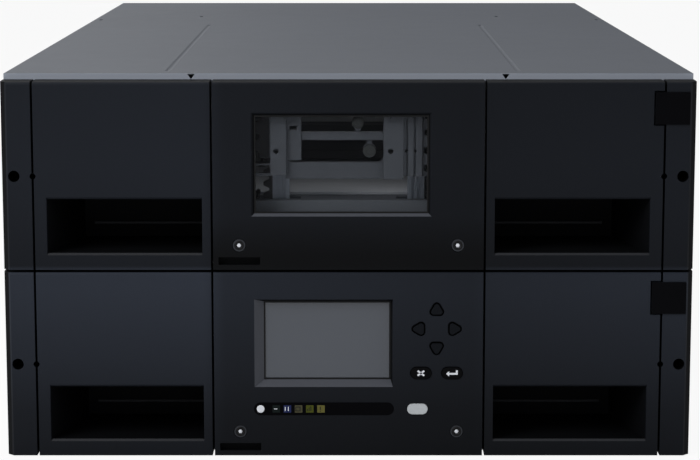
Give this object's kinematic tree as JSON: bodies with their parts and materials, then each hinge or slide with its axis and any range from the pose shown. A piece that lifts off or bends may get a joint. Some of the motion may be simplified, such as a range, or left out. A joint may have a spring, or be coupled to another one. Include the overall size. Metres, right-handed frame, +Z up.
{
  "type": "data tape library",
  "caption": "Rack-mount data tape library of two stacked modules with pull-out magazines, a window, an operator panel and a cartridge robot.",
  "frame": {"origin": "centre of the overall box at its underside", "axes": "+X to the right seen from the front, +Y from the front panels to the rear, +Z up"},
  "size_m": [0.4826, 0.892, 0.27],
  "materials": {
    "chassis_steel": "galvanised sheet steel",
    "cover_paint": "mid grey paint with a fine texture",
    "front_plastic": "moulded blue-black plastic, finely textured",
    "badge_black": "black gloss plaque",
    "window_clear": "clear smoked sheet",
    "screw_metal": "bright screw heads",
    "screen": "grey display glass",
    "board": "printed circuit board",
    "lens_black": "black indicator strip",
    "lights": "coloured light pipes",
    "key_dark": "dark key caps",
    "key_black": "black key caps",
    "key_white": "white key cap",
    "frame_steel": "bare magazine sheet",
    "black_plastic": "black moulded plastic",
    "robot_metal": "light grey anodised metal",
    "gripper_metal": "machined gripper",
    "drive_black": "black sled",
    "supply_metal": "zinc-plated supply case"
  },
  "bodies": {
    "library": {"base_chassis": "chassis_steel", "expansion_chassis": "chassis_steel", "top_cover": "cover_paint", "left_side_cover": "cover_paint", "right_side_cover": "cover_paint", "base_rear_panel": "chassis_steel", "expansion_rear_panel": "chassis_steel", "drive_cages": "chassis_steel", "upper_left_ear": "front_plastic", "upper_right_ear": "front_plastic", "lower_left_ear": "front_plastic", "lower_right_ear": "front_plastic", "badges": "badge_black", "window_panel": "front_plastic", "window_pane": "window_clear", "control_panel": "front_plastic", "panel_screws": "screw_metal", "display": "screen", "control_board": "board", "indicator_lens": "lens_black", "status_lights": "lights", "magazine_guides": "black_plastic", "magazine_locks": "chassis_steel", "window_bracket": "robot_metal", "front_rails": "robot_metal", "lift_racks": "black_plastic", "bay_covers": "chassis_steel"},
    "upper_left_drawer": {"upper_left_front": "front_plastic", "upper_left_magazine": "frame_steel", "upper_left_combs": "black_plastic"},
    "upper_right_drawer": {"upper_right_front": "front_plastic", "upper_right_magazine": "frame_steel", "upper_right_combs": "black_plastic"},
    "lower_left_drawer": {"lower_left_front": "front_plastic", "lower_left_magazine": "frame_steel", "lower_left_combs": "black_plastic"},
    "lower_right_drawer": {"lower_right_front": "front_plastic", "lower_right_magazine": "frame_steel", "lower_right_combs": "black_plastic"},
    "up_key_body": {"up_key": "key_dark"},
    "down_key_body": {"down_key": "key_dark"},
    "left_key_body": {"left_key": "key_dark"},
    "right_key_body": {"right_key": "key_dark"},
    "cancel_key_body": {"cancel_key": "key_black"},
    "enter_key_body": {"enter_key": "key_black"},
    "power_button_body": {"power_button": "key_white"},
    "lift_platform_body": {"lift_platform": "robot_metal"},
    "left_lift_shaft_body": {"left_lift_shaft": "black_plastic"},
    "right_lift_shaft_body": {"right_lift_shaft": "black_plastic"},
    "shuttle_body": {"shuttle": "robot_metal"},
    "picker_body": {"picker": "black_plastic"},
    "gripper_body": {"gripper": "gripper_metal"},
    "lower_drive_body": {"lower_drive": "drive_black"},
    "middle_drive_body": {"middle_drive": "drive_black"},
    "expansion_drive_body": {"expansion_drive": "drive_black"},
    "base_power_supply_body": {"base_power_supply": "supply_metal"},
    "expansion_power_supply_body": {"expansion_power_supply": "supply_metal"},
    "base_fan_body": {"base_fan": "black_plastic"},
    "expansion_fan_body": {"expansion_fan": "black_plastic"},
    "controller_card_body": {"controller_card": "supply_metal"}
  },
  "joints": [
    {"name": "upper_left_drawer_slide", "type": "slide", "parent": "library", "child": "upper_left_drawer", "axis": [0, -1, 0], "range_m": [0, 0.46]},
    {"name": "upper_right_drawer_slide", "type": "slide", "parent": "library", "child": "upper_right_drawer", "axis": [0, -1, 0], "range_m": [0, 0.46]},
    {"name": "lower_left_drawer_slide", "type": "slide", "parent": "library", "child": "lower_left_drawer", "axis": [0, -1, 0], "range_m": [0, 0.46]},
    {"name": "lower_right_drawer_slide", "type": "slide", "parent": "library", "child": "lower_right_drawer", "axis": [0, -1, 0], "range_m": [0, 0.46]},
    {"name": "up_key_press", "type": "slide", "parent": "library", "child": "up_key_body", "axis": [0, 1, 0], "range_m": [0, 0.0008], "stiffness_N_per_m": 400},
    {"name": "down_key_press", "type": "slide", "parent": "library", "child": "down_key_body", "axis": [0, 1, 0], "range_m": [0, 0.0008], "stiffness_N_per_m": 400},
    {"name": "left_key_press", "type": "slide", "parent": "library", "child": "left_key_body", "axis": [0, 1, 0], "range_m": [0, 0.0008], "stiffness_N_per_m": 400},
    {"name": "right_key_press", "type": "slide", "parent": "library", "child": "right_key_body", "axis": [0, 1, 0], "range_m": [0, 0.0008], "stiffness_N_per_m": 400},
    {"name": "cancel_key_press", "type": "slide", "parent": "library", "child": "cancel_key_body", "axis": [0, 1, 0], "range_m": [0, 0.0008], "stiffness_N_per_m": 400},
    {"name": "enter_key_press", "type": "slide", "parent": "library", "child": "enter_key_body", "axis": [0, 1, 0], "range_m": [0, 0.0008], "stiffness_N_per_m": 400},
    {"name": "power_button_press", "type": "slide", "parent": "library", "child": "power_button_body", "axis": [0, 1, 0], "range_m": [0, 0.0008], "stiffness_N_per_m": 400},
    {"name": "robot_lift", "type": "slide", "parent": "library", "child": "lift_platform_body", "axis": [0, 0, 1], "range_m": [-0.146, 0.0807]},
    {"name": "right_shaft_turn", "type": "hinge", "parent": "lift_platform_body", "child": "right_lift_shaft_body", "pos_m": [0.0702, -0.3, 0.1738], "axis": [0, 1, 0], "range_deg": [-396, 716]},
    {"name": "left_shaft_turn", "type": "hinge", "parent": "lift_platform_body", "child": "left_lift_shaft_body", "pos_m": [-0.0702, -0.3, 0.1738], "axis": [0, 1, 0], "range_deg": [-716, 396]},
    {"name": "shuttle_travel", "type": "slide", "parent": "lift_platform_body", "child": "shuttle_body", "axis": [0, 1, 0], "range_m": [0, 0.3285]},
    {"name": "picker_turn", "type": "hinge", "parent": "shuttle_body", "child": "picker_body", "pos_m": [0, -0.3113, 0.172], "axis": [0, 0, 1], "range_deg": [-90, 90]},
    {"name": "gripper_reach", "type": "slide", "parent": "picker_body", "child": "gripper_body", "axis": [0, 1, 0], "range_m": [0, 0.055]},
    {"name": "lower_drive_removal", "type": "slide", "parent": "library", "child": "lower_drive_body", "axis": [0, 1, 0], "range_m": [0, 0.34]},
    {"name": "middle_drive_removal", "type": "slide", "parent": "library", "child": "middle_drive_body", "axis": [0, 1, 0], "range_m": [0, 0.34]},
    {"name": "expansion_drive_removal", "type": "slide", "parent": "library", "child": "expansion_drive_body", "axis": [0, 1, 0], "range_m": [0, 0.34]},
    {"name": "base_power_supply_removal", "type": "slide", "parent": "library", "child": "base_power_supply_body", "axis": [0, 1, 0], "range_m": [0, 0.22]},
    {"name": "expansion_power_supply_removal", "type": "slide", "parent": "library", "child": "expansion_power_supply_body", "axis": [0, 1, 0], "range_m": [0, 0.22]},
    {"name": "controller_card_removal", "type": "slide", "parent": "library", "child": "controller_card_body", "axis": [0, 1, 0], "range_m": [0, 0.16]},
    {"name": "base_fan_spin", "type": "hinge", "parent": "base_power_supply_body", "child": "base_fan_body", "pos_m": [-0.1918, 0.416, 0.022], "axis": [0, 1, 0], "continuous": true},
    {"name": "expansion_fan_spin", "type": "hinge", "parent": "expansion_power_supply_body", "child": "expansion_fan_body", "pos_m": [-0.1918, 0.416, 0.15535], "axis": [0, 1, 0], "continuous": true}
  ],
  "couplings": [
    {"joint": "right_shaft_turn", "follows": "robot_lift", "rad_per_m": -85.47},
    {"joint": "left_shaft_turn", "follows": "robot_lift", "rad_per_m": 85.47}
  ]
}
